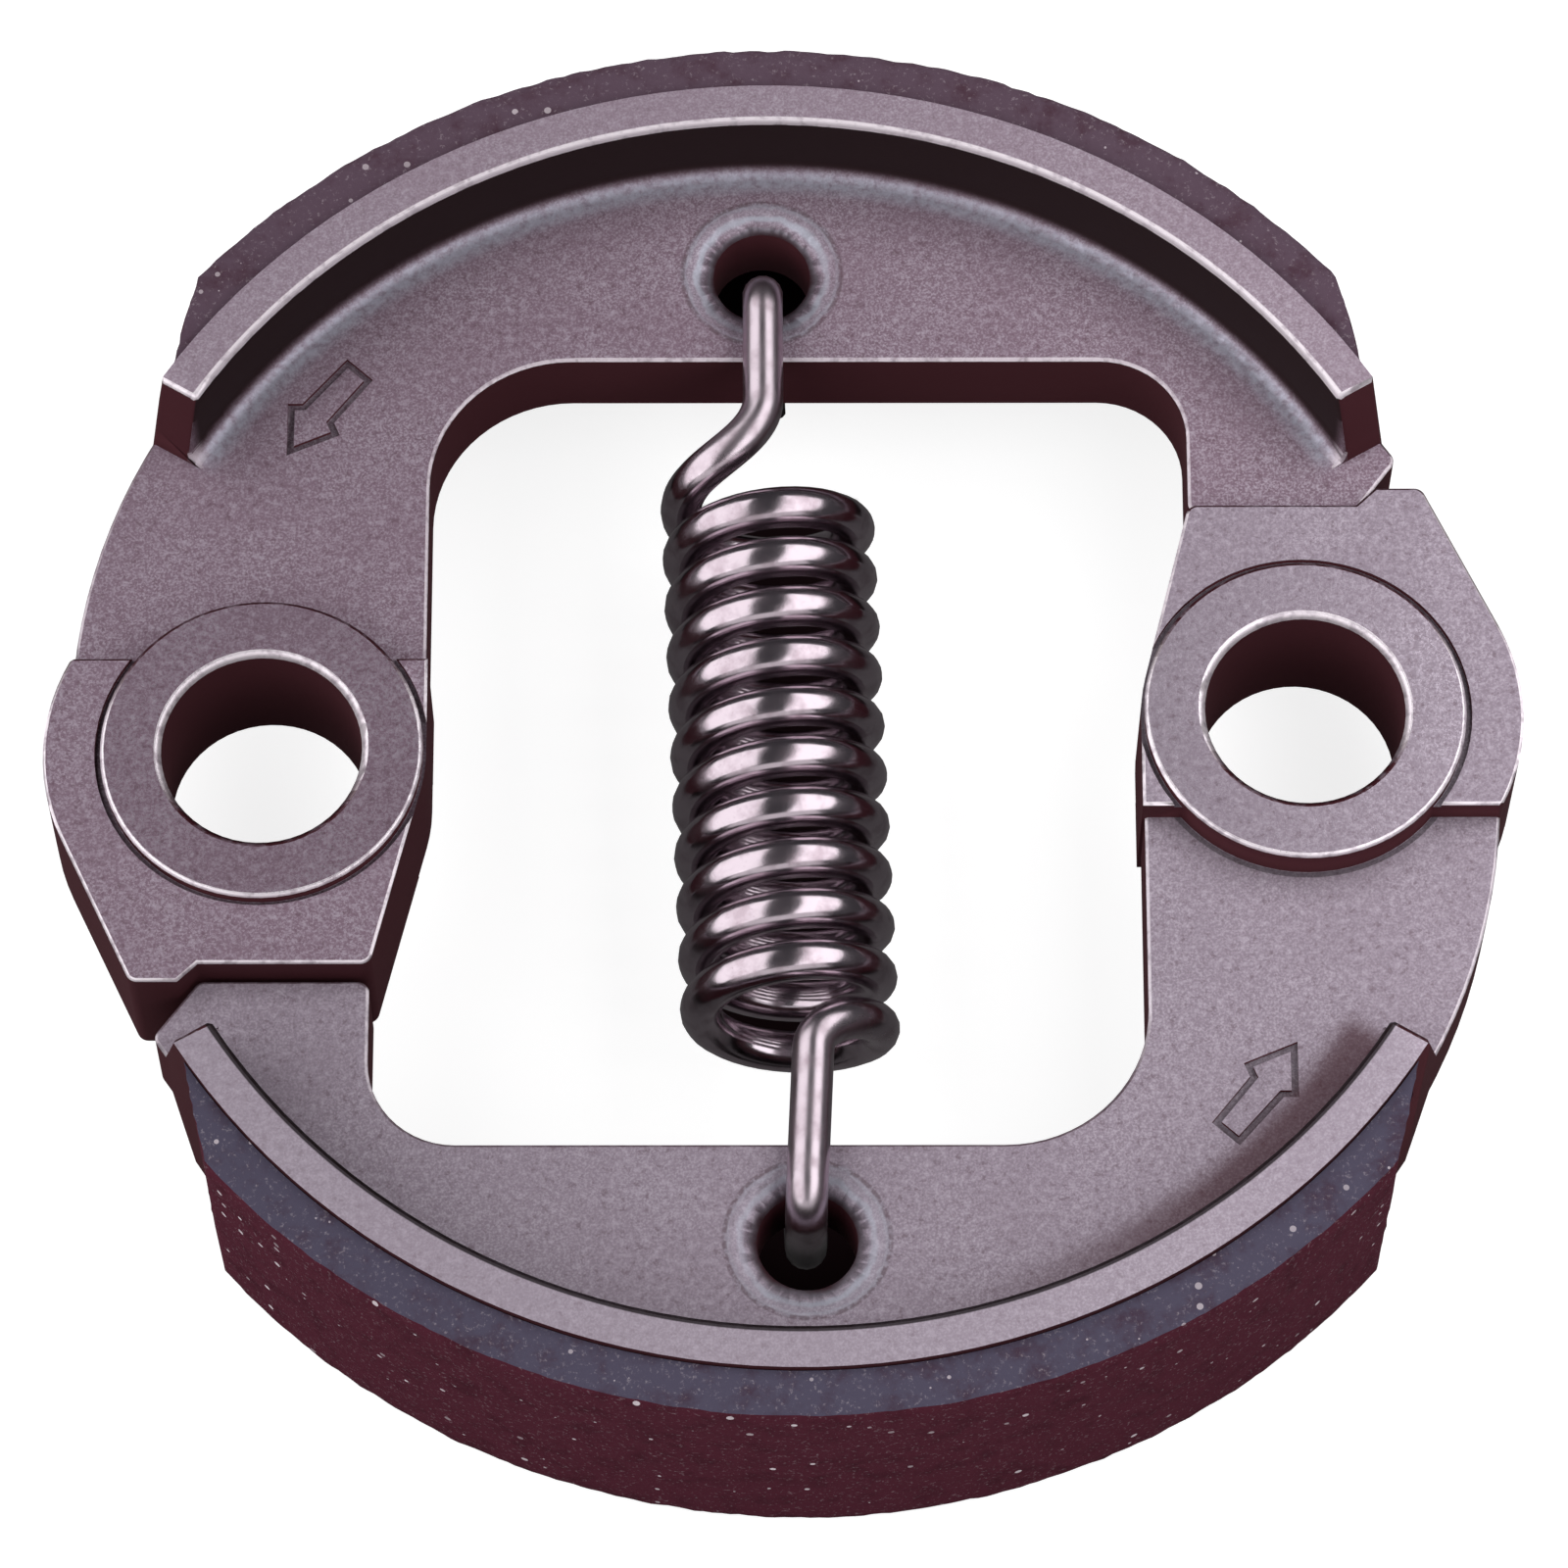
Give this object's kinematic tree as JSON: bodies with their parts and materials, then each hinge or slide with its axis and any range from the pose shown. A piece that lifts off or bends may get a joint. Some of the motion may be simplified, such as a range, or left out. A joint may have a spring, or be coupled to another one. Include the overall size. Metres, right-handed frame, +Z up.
{
  "type": "centrifugal clutch",
  "caption": "Two-shoe centrifugal clutch: lined swinging shoes held in by a coiled return spring, thrown out against a drum as the engine speeds up.",
  "frame": {"origin": "midway between the two pivot bores, on the plane that the undersides of the shoe rims rest on", "axes": "+Z up along the clutch's axis of rotation, X through both pivot bores, Y along the return spring"},
  "size_m": [0.0744, 0.0748, 0.0168],
  "materials": {
    "sintered_steel": "satin",
    "friction_lining": "matt",
    "spring_wire": "drawn and oiled"
  },
  "bodies": {
    "first_shoe": {"shoe_1": "sintered_steel", "lining_1": "friction_lining", "return_spring": "spring_wire"},
    "second_shoe": {"shoe_2": "sintered_steel", "lining_2": "friction_lining"}
  },
  "joints": [
    {"name": "shoes_spread", "type": "slide", "parent": "first_shoe", "child": "second_shoe", "axis": [0, -1, 0], "range_m": [0, 0.0018], "stiffness_N_per_m": 26000, "deforming": ["return_spring"]}
  ]
}
